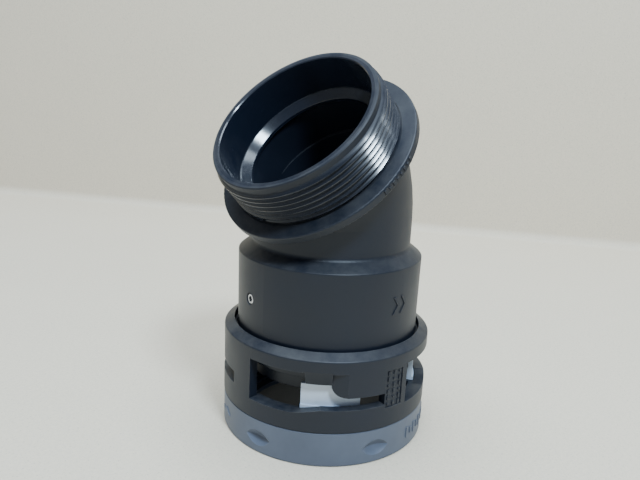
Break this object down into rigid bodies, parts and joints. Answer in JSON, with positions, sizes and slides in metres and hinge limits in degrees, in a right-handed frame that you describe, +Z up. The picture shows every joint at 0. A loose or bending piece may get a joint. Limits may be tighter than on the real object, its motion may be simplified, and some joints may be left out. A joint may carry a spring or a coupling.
{
  "type": "angled conduit fitting",
  "caption": "Threaded elbow that swivels on a windowed cage, with sliding retaining jaws driven by a grey lock ring, for joining a corrugated conduit to a wall.",
  "frame": {"origin": "centre of the conduit entry on the lock ring's bottom face", "axes": "+Z up along the conduit and the swivel axis, +X the way that the elbow leans"},
  "size_m": [0.0615, 0.0572, 0.1015],
  "materials": {
    "black_polyamide": "satin moulded polyamide",
    "grey_polyamide": "satin moulded polyamide",
    "white_acetal": "smooth moulded acetal",
    "black_rubber": "matt elastomer",
    "stainless_steel": "turned stainless steel"
  },
  "bodies": {
    "cage": {"cage_body": "black_polyamide", "seal_sleeve": "black_polyamide", "conduit_seal": "black_rubber", "thrust_washer": "white_acetal", "dust_seal": "black_rubber", "swivel_oring_lower": "black_rubber", "swivel_oring_upper": "black_rubber"},
    "elbow": {"elbow_body": "black_polyamide", "grub_screw_1": "stainless_steel", "grub_screw_2": "stainless_steel"},
    "lock_ring": {"lock_ring": "grey_polyamide", "cam_disc": "black_polyamide"},
    "jaw_1": {"jaw_1": "white_acetal", "jaw_pin_1": "stainless_steel"},
    "jaw_2": {"jaw_2": "white_acetal", "jaw_pin_2": "stainless_steel"},
    "jaw_3": {"jaw_3": "white_acetal", "jaw_pin_3": "stainless_steel"},
    "jaw_4": {"jaw_4": "white_acetal", "jaw_pin_4": "stainless_steel"}
  },
  "joints": [
    {"name": "elbow_swivel", "type": "hinge", "parent": "cage", "child": "elbow", "pos_m": [0, 0, 0.03], "axis": [0, 0, 1], "continuous": true},
    {"name": "lock_turn", "type": "hinge", "parent": "cage", "child": "lock_ring", "pos_m": [0, 0, 0.004], "axis": [0, 0, 1], "range_deg": [0, 45]},
    {"name": "jaw_1_slide", "type": "slide", "parent": "cage", "child": "jaw_1", "axis": [-0.7071, -0.7071, 0], "range_m": [0, 0.0014]},
    {"name": "jaw_2_slide", "type": "slide", "parent": "cage", "child": "jaw_2", "axis": [0.7071, -0.7071, 0], "range_m": [0, 0.0014]},
    {"name": "jaw_3_slide", "type": "slide", "parent": "cage", "child": "jaw_3", "axis": [0.7071, 0.7071, 0], "range_m": [0, 0.0014]},
    {"name": "jaw_4_slide", "type": "slide", "parent": "cage", "child": "jaw_4", "axis": [-0.7071, 0.7071, 0], "range_m": [0, 0.0014]}
  ],
  "couplings": [
    {"joint": "jaw_1_slide", "follows": "lock_turn", "m_per_rad": 0.0017825},
    {"joint": "jaw_2_slide", "follows": "lock_turn", "m_per_rad": 0.0017825},
    {"joint": "jaw_3_slide", "follows": "lock_turn", "m_per_rad": 0.0017825},
    {"joint": "jaw_4_slide", "follows": "lock_turn", "m_per_rad": 0.0017825}
  ]
}
